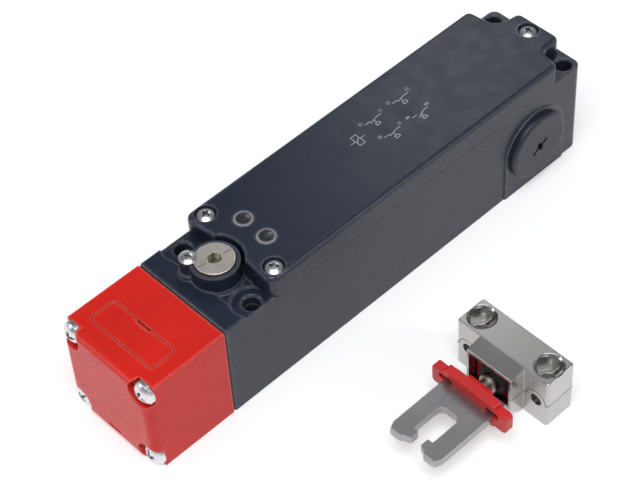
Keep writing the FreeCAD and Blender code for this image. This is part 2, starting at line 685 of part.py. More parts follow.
def make_release_cam():
    """A plate cam whose radius grows evenly over half a turn, so the core moves evenly."""
    z0 = 25.2
    start = curve_through(spiral_cam(NEAR_X, 0, 0, -180, RELEASE_CAM_LOW, RELEASE_CAM_HIGH, 16), "XY", z0)
    back = arc_through(NEAR_X, 0, RELEASE_CAM_HIGH, (180, 165, 150), "XY", z0)
    turn = math.radians(150)
    rim = Vector(NEAR_X + RELEASE_CAM_HIGH * math.cos(turn), RELEASE_CAM_HIGH * math.sin(turn), z0)
    hub = Vector(NEAR_X + RELEASE_CAM_LOW * math.cos(turn), RELEASE_CAM_LOW * math.sin(turn), z0)
    step = Part.LineSegment(rim, hub).toShape()
    round_hub = arc_through(NEAR_X, 0, RELEASE_CAM_LOW, (150, 75, 0), "XY", z0)
    cam = Part.Face(Part.Wire([start, back, step, round_hub])).extrude(Z_AXIS * 4.2)
    bore = rod(NEAR_X, 0, 24, 2.5, 8).cut(box(NEAR_X + 1.8, NEAR_X + 4, -4, 4, 23, 33))
    return cam.cut(bore)


def make_lock_bolt():
    """The yoke on the solenoid core: a follower for the release cam, and the bolt for the rotor."""
    follower = NEAR_X + RELEASE_CAM_LOW + 0.3
    yoke_x = -64.0
    nose_y = 1.0
    nose = box(follower + 1, yoke_x + 1, -nose_y, nose_y, 24.6, 28.9)
    tip = rod(follower + 1, 0, 24.6, nose_y, 4.3)
    yoke = end_plate(yoke_x, yoke_x + 2.5, -4.2, BOLT_Y + 2.4, ROTOR_Z - 2.6, CORE_Z + 4.2, 1.5)
    bolt_start = ROTOR_X + LOCK_RIM + 0.2
    bolt = rod(bolt_start, BOLT_Y, ROTOR_Z, 2.0, yoke_x + 1 - bolt_start, X_AXIS)
    return fuse(nose, tip, yoke, bolt)


def make_solenoid_core():
    return fuse(rod(-61.5, 0, CORE_Z, 4.0, 34.0, X_AXIS), rod(-61.5, 0, CORE_Z, 5.2, 1.2, X_AXIS))


def make_core_spring():
    return coil_spring(-60.25, SOLENOID_X[0] - 0.05, 0, CORE_Z, 4.9, 0.4, 3)


def make_solenoid_frame():
    x0, x1 = SOLENOID_X
    frame = box(x0, x1, -12.0, 12.0, 16.2, 36.6)
    window = box(x0 + 2.0, x1 - 2.0, -13, 13, 17.8, 35.0)
    frame = frame.cut(window)
    frame = frame.cut(rod(x0 - 1, 0, CORE_Z, 4.0 + RUNNING, 4, X_AXIS))
    feet = [fuse(box(x, x + 3.0, -11.0, 11.0, FLOOR, 16.2)).cut(box(x - 1, x + 4, -4, 4, FLOOR - 1, 14.5))
            for x in (x0, x1 - 3.0)]
    return fuse(frame, *feet)


def make_solenoid_coil():
    x0 = SOLENOID_X[0] + 2.0
    x1 = SOLENOID_X[1] - 2.0
    winding = rod(x0 + 1.2, 0, CORE_Z, 8.0, x1 - x0 - 2.4, X_AXIS)
    cheeks = [end_plate(x, x + 1.2, -10.5, 10.5, 17.9, 34.9, 2.0) for x in (x0, x1 - 1.2)]
    bobbin = fuse(winding, *cheeks)
    return bobbin.cut(rod(x0 - 1, 0, CORE_Z, 4.0 + RUNNING, x1 - x0 - 1, X_AXIS))


def make_contact_block():
    x0, x1 = BLOCK_X
    block = plate(x0, x1, -15.0, 15.0, FLOOR, 24.0, 1.2)
    tower = plate(x0, x1, -9.0, 9.0, 23.0, 30.0, 1.0)
    block = fuse(block, tower)
    room = box(x0 + 3, x0 + 15, -10.5, 10.5, ROD_Z - 4, ROD_Z + 4)
    tools = [room, rod(x0 - 1, 0, ROD_Z, ROD_RADIUS + RUNNING, 8, X_AXIS)]
    for i in range(4):
        x = x0 + 5 + 10 * i
        for side in (-1, 1):
            y0, y1 = sorted((side * 9.5, side * 16.0))
            tools.append(box(x - 3.5, x + 3.5, y0, y1, 16.0, 25))
    return cut(block, *tools)


def terminal_spots():
    return [(BLOCK_X[0] + 5 + 10 * i, side) for i in range(4) for side in (-1, 1)]


def make_terminal_clamps():
    clamps = []
    for x, side in terminal_spots():
        y0, y1 = sorted((side * 9.6, side * 14.6))
        clamp = box(x - 3.3, x + 3.3, y0, y1, 16.1, 18.0)
        clamps.append(clamp.cut(rod(x, side * 12.1, 15, 1.3, 5)))
    return Part.makeCompound(clamps)


def make_terminal_screws():
    screws = []
    for x, side in terminal_spots():
        screw = fuse(rod(x, side * 12.1, 18.0, 2.3, 1.6), rod(x, side * 12.1, 16.2, 1.25, 2.0))
        screws.append(screw.cut(box(x - 3, x + 3, side * 12.1 - 0.35, side * 12.1 + 0.35, 18.9, 21)))
    return Part.makeCompound(screws)


def make_contact_bridges():
    """Two sprung bars across the end of the long rod."""
    x0 = BLOCK_X[0]
    bars = []
    for x in (x0 + 7.1, x0 + 11.1):
        bar = box(x, x + 0.8, -9.0, 9.0, ROD_Z - 1.5, ROD_Z + 1.5)
        bars.append(bar.cut(rod(x - 1, 0, ROD_Z, ROD_RADIUS, 4, X_AXIS)))
    return Part.makeCompound([half for bar in bars for half in bar.Solids])


def make_fixed_contacts():
    """One pair that the first bar closes at the end of its stroke, one that the second rests against."""
    x0 = BLOCK_X[0]
    strips = []
    for x in (x0 + 3.2, x0 + 12.0):
        for side in (-1, 1):
            y0, y1 = sorted((side * 6.8, side * 10.5))
            strips.append(end_plate(x, x + 0.8, y0, y1, ROD_Z - 1.6, ROD_Z + 1.6, 0.4))
    return Part.makeCompound(strips)


def make_earth_screw():
    washer = box(42.0, 49.0, -15.0, -8.0, FLOOR, FLOOR + 1.2)
    screw = fuse(washer, rod(45.5, -11.5, FLOOR + 1.2, 3.2, 2.0))
    return screw.cut(box(41, 50, -11.9, -11.1, FLOOR + 2.4, FLOOR + 5))


# ---- The cable entries ----
def entry_plug():
    """A plug on the -Y side, as it sits in its entry."""
    face_y = -HALF - PAD_RISE
    thick = 2.3
    flange = rod(ENTRY_X, face_y, ENTRY_Z, 12.8, thick, Vector(0, -1, 0))
    flange = soften(flange, 1.5, lambda e: lies_at(e, "Y", face_y - thick))
    shank = rod(ENTRY_X, face_y, ENTRY_Z, ENTRY_RADIUS, 7.0, Y_AXIS)
    shank = shank.cut(rod(ENTRY_X, face_y + 1.5, ENTRY_Z, 7.4, 8.0, Y_AXIS))
    recess = tube(ENTRY_X, face_y - 0.9, ENTRY_Z, 12.0, 10.0, 1.0, Y_AXIS)
    slot = box(ENTRY_X - 3.9, ENTRY_X + 3.9, face_y - 4, face_y - 0.6, ENTRY_Z - 0.65, ENTRY_Z + 0.65)
    bar = box(ENTRY_X - 0.8, ENTRY_X + 0.8, face_y - 4, face_y - 0.6, ENTRY_Z - 2.1, ENTRY_Z + 2.1)
    middle = rod(ENTRY_X, face_y - 4, ENTRY_Z, 1.4, 3.6, Y_AXIS)
    driver = fuse(slot, bar, middle)
    driver.rotate(Vector(ENTRY_X, 0, ENTRY_Z), Y_AXIS, -30)
    return cut(fuse(flange, shank), recess, driver)


def entry_seal():
    return tube(ENTRY_X, -HALF - PAD_RISE - 0.9, ENTRY_Z, 12.0, 10.0, 0.9, Y_AXIS)


def at_every_entry(make):
    near = make()
    far = mirror_y(make())
    end = make()
    end.rotate(Vector(ENTRY_X, 0, ENTRY_Z), Z_AXIS, 90)
    end.translate(Vector(BODY_END - ENTRY_X - HALF, 0, 0))
    return Part.makeCompound([near, far, end])


def make_retaining_screw():
    return cross_screw(NEAR_X - 5.8, 5.8, RELEASE_TOP + 0.05, 2.75, 1.5, 1.25, 8.0, 30)


# ---- The actuator ----
def act(shape):
    """Moves a shape from the actuator's own place to where it lies beside the switch."""
    shape.translate(Vector(ACT_X, ACT_Y, 0))
    return shape


def snout_profile():
    """The side view of the actuator's nose: a roof that dips a little, a flat front, a sloped chin."""
    front = -SNOUT_REACH
    return [(6.0, 0, 0), (6.0, BLOCK_Z, 0), (0.3, BLOCK_Z, 4.0), (front, BLOCK_Z - 0.9, 0.5),
            (front, CHIN_Z, 1.0), (CHIN_X, 0, 0.5)]


def actuator_mass():
    block = plate(0, BLOCK_DEPTH, -BLOCK_HALF, BLOCK_HALF, 0, BLOCK_Z, 1.0)
    block = soften(block, 0.5, lambda e: lies_at(e, "Z", BLOCK_Z))
    snout = prism(snout_profile(), "XZ", -SNOUT_HALF, SNOUT_HALF)
    return block.fuse(snout)


def actuator_tools():
    mouth = -SNOUT_REACH - 2
    room = [(9.0, 2.6, 1.0), (9.0, 18.2, 1.0), (mouth, 18.2, 0), (mouth, 8.0, 0), (-2.4, 2.6, 0)]
    tools = [prism(room, "XZ", -8.3, 8.3)]
    for side in (-1, 1):
        y = side * ACT_HOLE_Y
        tools.append(rod(6.0, y, -1, ACT_HOLE_RADIUS, BLOCK_Z + 2))
        tools.append(hexagon(8.5, 6.0, y, BLOCK_Z - 7.0, BLOCK_Z + 1, 30))
        tools.append(Part.makeCone(4.4, 4.95, 0.55, Vector(6.0, y, BLOCK_Z - 0.55)))
        tools.append(rod(-1, side * 14.2, SPLIT_Z, FRONT_HOLE_RADIUS, BLOCK_DEPTH + 2, X_AXIS))
    return tools


def lower_region(gap):
    """Everything below the parting line, which arches over the two front holes."""
    region = box(-10, 20, -25, 25, -1, SPLIT_Z - gap)
    for side in (-1, 1):
        region = region.fuse(rod(-10, side * 14.2, SPLIT_Z, 4.0 - gap, 30, X_AXIS))
    return region


def make_actuator_lower():
    return act(cut(actuator_mass().common(lower_region(PARTING)), *actuator_tools()))


def make_actuator_upper():
    return act(cut(actuator_mass().cut(lower_region(-PARTING)), *actuator_tools()))


def make_joint_carrier():
    """The plate inside the nose, on two trunnions, with the seat for the tongue's stem."""
    body = end_plate(CARRIER_FRONT, CARRIER_FRONT + 2.0, -7.9, 7.9, JOINT_Z - 6.3, JOINT_Z + 6.3, 1.0)
    cup = rod(CARRIER_FRONT + 1.0, 0, JOINT_Z, 4.6, 8.6, X_AXIS)
    carrier = fuse(body, cup)
    for side in (-1, 1):
        start = min(side * 4.0, side * 8.25)
        carrier = carrier.fuse(rod(JOINT_X, start, JOINT_Z, 1.6, 4.25, Y_AXIS))
    bore = rod(CARRIER_FRONT - 1, 0, JOINT_Z, 3.4, JOINT_X - CARRIER_FRONT + 1, X_AXIS)
    tools = [bore, Part.makeSphere(3.4, Vector(JOINT_X, 0, JOINT_Z))]
    for y, z in adjuster_spots():
        tools.append(rod(CARRIER_FRONT - 1, y, z, 0.9, 4, X_AXIS))
    return act(cut(carrier, *tools))


def adjuster_spots():
    return [(y, JOINT_Z + z) for y in (-6.3, 6.3) for z in (-4.6, 4.6)]


def make_adjusting_screws():
    screws = []
    start = CARRIER_FRONT + 0.3
    for y, z in adjuster_spots():
        screw = rod(start, y, z, 0.9, 4.2, X_AXIS)
        screws.append(screw.cut(box(start - 1, start + 0.4, y - 0.2, y + 0.2, z - 1, z + 1)))
    return act(Part.makeCompound(screws))


def tongue_outline():
    """Half of the tongue, from its root to the hook beside the mouth of its slot, then mirrored."""
    tip = TONGUE_TIP
    half = [(TONGUE_ROOT, TONGUE_HALF, 0), (tip + 3.2, TONGUE_HALF, 1.2), (tip, 8.9, 0.8), (tip, 5.2, 0.6),
            (tip + 1.4, 4.4, 0.9), (tip + 2.0, 2.9, 0.6), (tip + 2.3, 2.0, 0.3), (tip + 5.55, 2.0, 0.3),
            (tip + 5.55, 4.0, 0.4), (tip + 17.8, 4.0, 2.6)]
    return half + [(x, -y, radius) for x, y, radius in reversed(half)]


def make_tongue():
    """The blade with its hooked slot, its round stem and the ball that the carrier holds."""
    low, high = TONGUE_Z
    tip = TONGUE_TIP
    blade = prism(tongue_outline(), "XY", low, high)
    lead = [(tip - 1, high - 2.0, 0), (tip - 1, high + 1, 0), (tip + 1.8, high + 1, 0)]
    lead_low = [(x, low + high - z, 0) for x, z, radius in lead]
    blade = cut(blade, prism(lead, "XZ", -12, 12), prism(lead_low, "XZ", -12, 12))
    stem = rod(TONGUE_ROOT, 0, JOINT_Z, 2.4, JOINT_X - TONGUE_ROOT, X_AXIS)
    ball = Part.makeSphere(3.4 - RUNNING, Vector(JOINT_X, 0, JOINT_Z))
    return act(fuse(blade, stem, ball))


def make_tongue_flange():
    front = FLANGE_X
    middle = end_plate(front, front + 3.2, -10.8, 10.8, 6.0, 16.4, 1.2)
    wings = end_plate(front, front + 3.2, -15.6, 15.6, 7.0, 14.7, 1.5)
    boss = end_plate(front + 2.5, TONGUE_ROOT, -5.0, 5.0, 7.0, 13.6, 1.0)
    flange = soften(fuse(middle, wings), 0.5, lambda e: lies_at(e, "X", front))
    flange = fuse(flange, boss)
    half = TONGUE_HALF
    tools = [box(front - 5, TONGUE_ROOT + 1, -half, half, TONGUE_Z[0], TONGUE_Z[1])]
    for side in (-1, 1):
        y0, y1 = sorted((side * 7.0, side * 12.4))
        tools.append(end_plate(front - 1, front + 1.4, y0, y1, TONGUE_Z[1] - 0.6, TONGUE_Z[1] + 1.9, 0.6))
    return act(cut(flange, *tools))


def make_stem_ring():
    return act(tube(-6.6, 0, JOINT_Z, 3.3, 2.4, 0.8, X_AXIS))


def make_joint_bellows():
    """The rubber gaiter between the carrier and the tongue's stem."""
    profile = [(-0.05, 5.2), (-0.7, 5.8), (-1.8, 5.2), (-2.3, 3.9), (-2.2, 3.2), (-1.5, 3.2),
               (-0.9, 4.2), (-0.05, 4.6)]
    points = [Vector(CARRIER_FRONT + x, r, 0) for x, r in profile]
    face = Part.Face(Part.makePolygon(points + points[:1]))
    gaiter = face.revolve(Vector(0, 0, 0), X_AXIS, 360)
    gaiter.translate(Vector(0, 0, JOINT_Z))
    return act(gaiter)


NODES = {
    "housing": make_housing,
    "cover": make_cover,
    "cover_gasket": make_cover_gasket,
    "cover_screws": make_cover_screws,
    "led_lenses": make_led_lenses,
    "led_board": make_led_board,
    "leds": make_leds,
    "head_housing": make_head_housing,
    "head_gasket": make_head_gasket,
    "head_screws": make_head_screws,
    "end_slot_plug": make_end_slot_plug,
    "top_slot_plug": make_top_slot_plug,
    "rotor_axle": make_rotor_axle,
    "tongue_rotor": make_tongue_rotor,
    "push_rod": make_push_rod,
    "rod_guide": make_rod_guide,
    "rod_spring": make_rod_spring,
    "release_spindle": make_release_spindle,
    "release_o_ring": make_release_o_ring,
    "release_clip": make_release_clip,
    "release_cam": make_release_cam,
    "release_retaining_screw": make_retaining_screw,
    "lock_bolt": make_lock_bolt,
    "solenoid_core": make_solenoid_core,
    "core_spring": make_core_spring,
    "solenoid_frame": make_solenoid_frame,
    "solenoid_coil": make_solenoid_coil,
    "contact_block": make_contact_block,
    "contact_bridges": make_contact_bridges,
    "fixed_contacts": make_fixed_contacts,
    "terminal_clamps": make_terminal_clamps,
    "terminal_screws": make_terminal_screws,
    "earth_screw": make_earth_screw,
    "conduit_plugs": lambda: at_every_entry(entry_plug),
    "conduit_seals": lambda: at_every_entry(entry_seal),
    "actuator_base_lower": make_actuator_lower,
    "actuator_base_upper": make_actuator_upper,
    "joint_carrier": make_joint_carrier,
    "adjusting_screws": make_adjusting_screws,
    "joint_bellows": make_joint_bellows,
    "stem_ring": make_stem_ring,
    "tongue": make_tongue,
    "tongue_flange": make_tongue_flange,
}


def main():
    os.makedirs("parts", exist_ok=True)
    for name, make in NODES.items():
        shape = make()
        solids = shape.Solids
        if not solids or not all(solid.isValid() for solid in solids):
            print("PROBLEM", name, len(solids))
        print(name, len(solids), round(shape.Volume, 1))
        shape.exportStep("parts/" + name + ".step")


main()
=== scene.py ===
import math

import bmesh
import bpy
from mathutils import Matrix, Vector


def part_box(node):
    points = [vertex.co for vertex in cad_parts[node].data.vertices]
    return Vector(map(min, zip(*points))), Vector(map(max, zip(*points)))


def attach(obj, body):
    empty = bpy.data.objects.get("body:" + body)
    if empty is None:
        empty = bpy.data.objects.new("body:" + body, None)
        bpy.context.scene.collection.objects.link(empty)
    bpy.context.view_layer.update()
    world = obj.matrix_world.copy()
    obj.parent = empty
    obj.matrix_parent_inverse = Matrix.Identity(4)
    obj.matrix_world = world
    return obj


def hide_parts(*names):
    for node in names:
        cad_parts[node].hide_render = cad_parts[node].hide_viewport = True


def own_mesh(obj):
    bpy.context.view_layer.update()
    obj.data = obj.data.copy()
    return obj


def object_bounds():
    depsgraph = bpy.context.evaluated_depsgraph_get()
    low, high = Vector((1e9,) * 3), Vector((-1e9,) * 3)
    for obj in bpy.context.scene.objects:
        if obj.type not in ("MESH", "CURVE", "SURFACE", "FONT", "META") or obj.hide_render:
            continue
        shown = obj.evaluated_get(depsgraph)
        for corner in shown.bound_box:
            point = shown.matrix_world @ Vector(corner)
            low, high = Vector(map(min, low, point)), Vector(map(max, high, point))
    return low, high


# The looks of a tongue interlock switch and its separate actuator, in the row frame.
# Materials, lamps and the camera are in metres. Screws, seams and print are in millimetres.

MM = 0.001

# The camera's own axes and its place in metres, with its lens and sensor in millimetres.
CAMERA_RIGHT = Vector((0.7173, -0.6952, -0.0464))
CAMERA_UP = Vector((0.5433, 0.5165, 0.6619))
CAMERA_BACK = Vector((-0.4362, -0.5000, 0.7482))
CAMERA_PLACE = Vector((-0.31705, -0.3311, 0.5139))
CAMERA_LENS = 114.47
SENSOR_WIDTH = 36.0

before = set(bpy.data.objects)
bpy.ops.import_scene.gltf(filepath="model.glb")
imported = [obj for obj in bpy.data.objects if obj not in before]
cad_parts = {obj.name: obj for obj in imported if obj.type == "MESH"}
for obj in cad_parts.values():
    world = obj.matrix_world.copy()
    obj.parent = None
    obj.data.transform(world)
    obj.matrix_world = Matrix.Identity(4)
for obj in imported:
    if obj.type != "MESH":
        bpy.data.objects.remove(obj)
cad_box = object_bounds()


# ---- Objects and meshes ----
def linked(name, data):
    """A new object that is part of the scene."""
    made = bpy.data.objects.new(name, data)
    bpy.context.scene.collection.objects.link(made)
    return made


def mesh_of(name, shape):
    """A mesh from a bmesh, which is used up."""
    mesh = bpy.data.meshes.new(name)
    shape.to_mesh(mesh)
    shape.free()
    return mesh


def joined(name, meshes):
    """One mesh that holds several."""
    shape = bmesh.new()
    for mesh in meshes:
        shape.from_mesh(mesh)
    return mesh_of(name, shape)


# ---- Material tools ----
# A hollow is painted fully in shade at HOLLOW_DEEP of open sky and left clean at HOLLOW_OPEN. An edge
# counts in full where the rounded normal leaves the flat one by EDGE_COSINE.
NOISE_ROUGHNESS = 0.55
# The colour of the painted shade in hollows.
HOLLOW_SHADE = (0.02, 0.018, 0.016)
HOLLOW_DEEP = 0.3
HOLLOW_OPEN = 0.72
EDGE_COSINE = 0.965


class Look:
    """A procedural material: one principled shader, fed by noises in object space."""

    def __init__(self, name, roughness=0.4, metallic=0.0, ior=1.5):
        self.material = bpy.data.materials.new(name)
        self.material.use_nodes = True
        self.tree = self.material.node_tree
        self.shader = self.tree.nodes["Principled BSDF"]
        self.shader.inputs["Metallic"].default_value = metallic
        self.shader.inputs["IOR"].default_value = ior
        self.shader.inputs["Roughness"].default_value = roughness
        self.place = self.node("ShaderNodeTexCoord").outputs["Object"]

    def node(self, kind, **settings):
        made = self.tree.nodes.new(kind)
        for key, value in settings.items():
            setattr(made, key, value)
        return made

    def link(self, source, target):
        self.tree.links.new(source, target)

    def stretched(self, stretch):
        mapping = self.node("ShaderNodeMapping")
        mapping.inputs["Scale"].default_value = stretch
        self.link(self.place, mapping.inputs["Vector"])
        return mapping.outputs["Vector"]

    def noise(self, scale, detail=3.0, stretch=None):
        made = self.node("ShaderNodeTexNoise")
        made.inputs["Scale"].default_value = scale
        made.inputs["Detail"].default_value = detail
        made.inputs["Roughness"].default_value = NOISE_ROUGHNESS
        self.link(self.stretched(stretch) if stretch else self.place, made.inputs["Vector"])
        return made.outputs["Fac"]

    def cells(self, scale, stretch):
        made = self.node("ShaderNodeTexVoronoi")
        made.inputs["Scale"].default_value = scale
        self.link(self.stretched(stretch), made.inputs["Vector"])
        return made.outputs["Distance"]

    def spread(self, value, low, high, out_low, out_high):
        """The value, with low to high mapped to out_low to out_high."""
        made = self.node("ShaderNodeMapRange")
        made.inputs["From Min"].default_value = low
        made.inputs["From Max"].default_value = high
        made.inputs["To Min"].default_value = out_low
        made.inputs["To Max"].default_value = out_high
        self.link(value, made.inputs["Value"])
        return made.outputs["Result"]

    def blend(self, share, first, second):
        """The first colour where share is 0, the second where it is 1."""
        made = self.node("ShaderNodeMix", data_type="RGBA")
        for socket, colour in ((made.inputs[6], first), (made.inputs[7], second)):
            if isinstance(colour, tuple):
                socket.default_value = (*colour, 1.0)
            else:
                self.link(colour, socket)
        self.link(share, made.inputs[0])
        return made.outputs[2]

    def maths(self, operation, first, second):
        """What the operation makes of two values; the second may be a plain number."""
        made = self.node("ShaderNodeMath", operation=operation)
        self.link(first, made.inputs[0])
        if isinstance(second, float):
            made.inputs[1].default_value = second
        else:
            self.link(second, made.inputs[1])
        return made.outputs[0]

    def times(self, first, second):
        return self.maths("MULTIPLY", first, second)

    def shaded(self, colour, reach):
        """The colour, darkened inside hollows narrower than reach: painted shade."""
        if not reach:
            return colour
        # Painted shade: ambient occlusion darkens the colour in hollows.
        hollow = self.node("ShaderNodeAmbientOcclusion", samples=6, only_local=True)
        hollow.inputs["Distance"].default_value = reach
        share = self.spread(hollow.outputs["AO"], HOLLOW_DEEP, HOLLOW_OPEN, 1.0, 0.0)
        return self.blend(share, colour, HOLLOW_SHADE)

    def rounded(self, radius):
        """The normal, turned as if every edge were rounded by radius."""
        bevel = self.node("ShaderNodeBevel", samples=4)
        bevel.inputs["Radius"].default_value = radius
        return bevel.outputs["Normal"]

    def rim(self, radius):
        """The edges: 1 where the surface turns within radius, 0 on the flats."""
        turned_normal = self.rounded(radius)
        flat = self.node("ShaderNodeNewGeometry").outputs["Normal"]
        dot = self.node("ShaderNodeVectorMath", operation="DOT_PRODUCT")
        self.link(turned_normal, dot.inputs[0])
        self.link(flat, dot.inputs[1])
        return self.spread(dot.outputs["Value"], 1.0, EDGE_COSINE, 0.0, 1.0)

    def paint(self, colour):
        self.link(colour, self.shader.inputs["Base Color"])

    def gloss(self, value):
        self.link(value, self.shader.inputs["Roughness"])

    def relief(self, *heights, edge=0.00025):
        """Bumps laid on an edge rounding; each height is (value, strength, depth)."""
        normal = self.rounded(edge)
        for value, strength, depth in heights:
            bump = self.node("ShaderNodeBump")
            bump.inputs["Strength"].default_value = strength
            bump.inputs["Distance"].default_value = depth
            self.link(value, bump.inputs["Height"])
            self.link(normal, bump.inputs["Normal"])
            normal = bump.outputs["Normal"]
        self.link(normal, self.shader.inputs["Normal"])


def shade(colour, factor):
    return tuple(min(channel * factor, 1.0) for channel in colour)


# ---- Materials ----
def moulded(name, colour, roughness, grain=1400.0, depth=0.00001, edge_highlight=None, edge=0.0003,
            specular=0.5, highlight_radius=0.0006, shade_reach=0.0):
    """A moulded polymer: faint flow marks, a fine spark-eroded grain, edges painted a little paler as a
    highlight and made a little glossier.
    """
    look = Look(name, roughness)
    look.shader.inputs["Specular IOR Level"].default_value = specular
    flow = look.noise(28.0, 4.0, (1.0, 2.2, 1.6))
    base = look.blend(look.spread(flow, 0.3, 0.7, 0.0, 1.0), shade(colour, 0.92), shade(colour, 1.08))
    # The edges are painted paler, in patches: a painted highlight. The same edges are also made glossier
    # below.
    patchy = look.spread(look.noise(420.0, 3.0), 0.35, 0.75, 0.45, 0.9)
    highlit_edges = look.times(look.rim(highlight_radius), patchy)
    highlight_colour = edge_highlight or shade(colour, 1.3)
    look.paint(look.shaded(look.blend(highlit_edges, base, highlight_colour), shade_reach))
    matt = look.spread(look.noise(190.0, 5.0), 0.25, 0.75, roughness - 0.05, roughness + 0.07)
    polish = look.times(highlit_edges, 0.2)
    look.gloss(look.maths("SUBTRACT", matt, polish))
    fine = look.noise(grain, 2.0)
    wavy = look.noise(60.0, 2.0)
    look.relief((fine, 0.35, depth), (wavy, 0.1, 0.00004), edge=edge)
    return look.material


def metal(name, colour, roughness, grain=500.0, depth=0.00004, spots=0.0, edge=0.0002, cloud=0.08,
          highlight_gain=1.25, shade_reach=0.0):
    """A plated or bare metal: cloudy tone, a fine cast or ground texture, edges painted brighter as a
    highlight.
    """
    look = Look(name, roughness, 1.0)
    tone = look.spread(look.noise(90.0, 5.0), 0.3, 0.7, 0.0, 1.0)
    base = look.blend(tone, shade(colour, 1.0 - cloud), shade(colour, 1.0 + cloud))
    if spots:
        pits = look.spread(look.noise(1500.0, 2.0), 0.6, 0.72, 0.0, spots)
        base = look.blend(pits, base, shade(colour, 0.35))
    # The edges are painted brighter: a painted highlight.
    highlit_edges = look.blend(look.times(look.rim(0.0004), 0.5), base, shade(colour, highlight_gain))
    look.paint(look.shaded(highlit_edges, shade_reach))
    streaks = look.noise(350.0, 4.0)
    look.gloss(look.spread(streaks, 0.25, 0.75, roughness - cloud / 2, roughness + cloud))
    look.relief((look.noise(grain, 4.0), 0.5, depth), edge=edge)
    return look.material


def lens_look():
    """Clear acrylic over a dark well, with a frosted rim at its seat."""
    look = Look("clear_lens", 0.1, 0.0, 1.49)
    lo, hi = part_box("led_lenses")
    radius = (hi.x - lo.x) / 2
    centre = ((lo.x + hi.x) / 2, hi.y - radius)
    parts = look.node("ShaderNodeSeparateXYZ")
    look.link(look.place, parts.inputs[0])
    side = look.node("ShaderNodeMath", operation="ABSOLUTE")
    look.link(parts.outputs["Y"], side.inputs[0])
    flat = look.node("ShaderNodeCombineXYZ")
    look.link(parts.outputs["X"], flat.inputs["X"])
    look.link(side.outputs[0], flat.inputs["Y"])
    away = look.node("ShaderNodeVectorMath", operation="DISTANCE")
    look.link(flat.outputs[0], away.inputs[0])
    away.inputs[1].default_value = (*centre, 0.0)
    frost = look.spread(away.outputs["Value"], radius * 0.66, radius * 0.92, 0.0, 1.0)
    mottle = look.spread(look.noise(700.0, 3.0), 0.3, 0.7, 0.03, 0.14)
    cover = look.maths("MAXIMUM", frost, mottle)
    look.paint(look.blend(frost, (0.34, 0.34, 0.38), (0.42, 0.41, 0.48)))
    look.link(look.spread(cover, 0.0, 1.0, 1.0, 0.25), look.shader.inputs["Transmission Weight"])
    look.gloss(look.spread(look.noise(500.0), 0.3, 0.7, 0.05, 0.14))
    look.relief((look.noise(900.0, 2.0), 0.25, 0.00003), edge=0.0002)
    return look.material


def board_look():
    """Green lacquer over copper tracks."""
    look = Look("board_green", 0.35)
    tracks = look.spread(look.cells(260.0, (1.0, 3.0, 1.0)), 0.28, 0.33, 0.0, 1.0)
    look.paint(look.blend(tracks, (0.012, 0.09, 0.03), (0.03, 0.17, 0.06)))
    look.gloss(look.spread(look.noise(300.0), 0.3, 0.7, 0.28, 0.42))
    look.relief((tracks, 0.3, 0.00004))
    return look.material


def winding_look():
    """Enamelled wire, layer on layer along the coil."""
    look = Look("coil_winding", 0.3, 0.6)
    waves = look.node("ShaderNodeTexWave", wave_type="BANDS", bands_direction="X")
    waves.inputs["Scale"].default_value = 620.0
    waves.inputs["Distortion"].default_value = 0.6
    look.link(look.place, waves.inputs["Vector"])
    turns = waves.outputs["Fac"]
    look.paint(look.blend(turns, (0.22, 0.06, 0.02), (0.55, 0.2, 0.07)))
    look.gloss(look.spread(look.noise(400.0), 0.3, 0.7, 0.22, 0.4))
    look.relief((turns, 0.6, 0.00015))
    return look.material


def rubber_look():
    """Matt rubber with a film of dust."""
    look = Look("black_rubber", 0.62)
    dust = look.spread(look.noise(240.0, 5.0), 0.35, 0.75, 0.0, 1.0)
    look.paint(look.blend(dust, (0.012, 0.012, 0.013), (0.03, 0.03, 0.032)))
    look.gloss(look.spread(look.noise(500.0), 0.3, 0.7, 0.5, 0.75))
    look.relief((look.noise(1800.0, 3.0), 0.4, 0.00004))
    return look.material


BODY = (0.013, 0.02, 0.038)
RED = (0.7, 0.019, 0.011)
